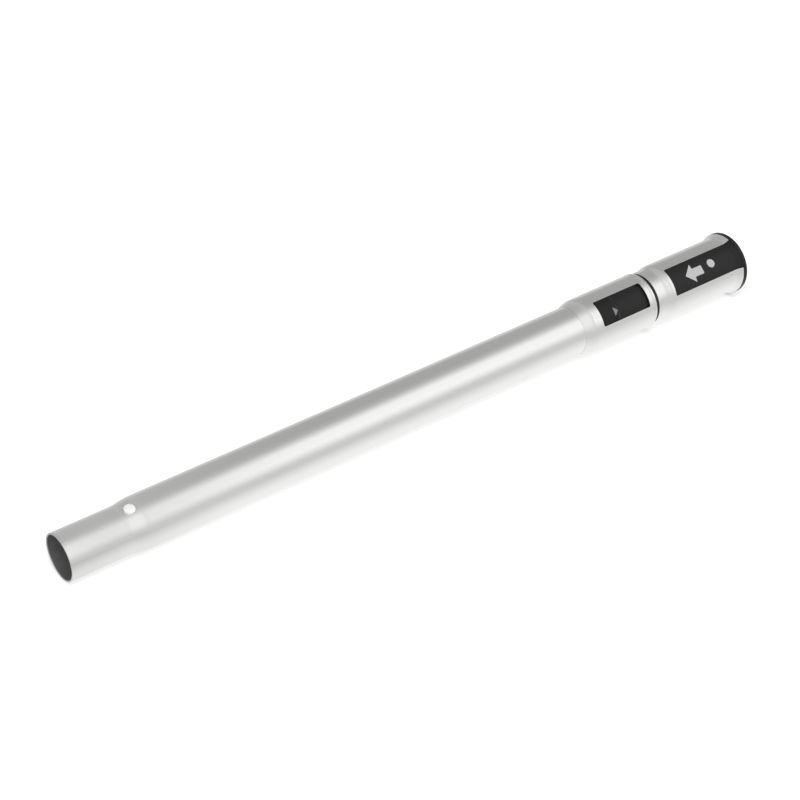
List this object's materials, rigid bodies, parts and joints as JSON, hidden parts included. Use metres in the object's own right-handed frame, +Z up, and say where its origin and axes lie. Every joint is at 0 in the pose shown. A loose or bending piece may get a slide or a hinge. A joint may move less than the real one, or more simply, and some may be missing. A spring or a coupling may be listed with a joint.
{
  "type": "telescopic vacuum cleaner tube",
  "caption": "Telescopic vacuum cleaner tube of polished steel: inner tube slides in outer tube, sprung release key works a brake, snap button in the plug end, collared socket at the other.",
  "frame": {"origin": "centre of the plug end's mouth, on the tube's axis", "axes": "+X along the tube from the plug end to the socket's collar, +Z up as the tube lies, -Y towards the viewer"},
  "size_m": [0.5535, 0.0454, 0.0454],
  "materials": {
    "polished_steel": "polished",
    "plated_plastic": "chrome plated, polished",
    "black_plastic": "satin",
    "key_plastic": "satin",
    "grey_plastic": "matte",
    "button_plastic": "gloss",
    "rubber": "matte",
    "spring_steel": "drawn"
  },
  "bodies": {
    "outer": {"outer_tube": "polished_steel", "adjuster_sleeve": "plated_plastic", "guide_body": "black_plastic", "wiper_ring": "rubber", "key_spring": "spring_steel", "snap_spring": "spring_steel"},
    "inner": {"inner_tube": "polished_steel", "rear_guide": "grey_plastic", "lip_seal": "rubber", "socket_sleeve": "plated_plastic", "socket_body": "black_plastic"},
    "key": {"release_key": "key_plastic"},
    "shoe": {"brake_shoe": "grey_plastic", "brake_lining": "rubber"},
    "button": {"snap_button": "button_plastic"}
  },
  "joints": [
    {"name": "telescope", "type": "slide", "parent": "outer", "child": "inner", "axis": [1, 0, 0], "range_m": [0, 0.32]},
    {"name": "key_slide", "type": "slide", "parent": "outer", "child": "key", "axis": [1, 0, 0], "range_m": [0, 0.005], "stiffness_N_per_m": 300, "deforming": ["key_spring"]},
    {"name": "shoe_lift", "type": "slide", "parent": "outer", "child": "shoe", "axis": [0, -0.6691, 0.7431], "range_m": [0, 0.0003]},
    {"name": "snap_press", "type": "slide", "parent": "outer", "child": "button", "axis": [0, -0.2419, 0.9703], "range_m": [-0.0026, 0], "stiffness_N_per_m": 1500, "deforming": ["snap_spring"]}
  ],
  "couplings": [
    {"joint": "shoe_lift", "follows": "key_slide", "ratio": 0.06}
  ]
}
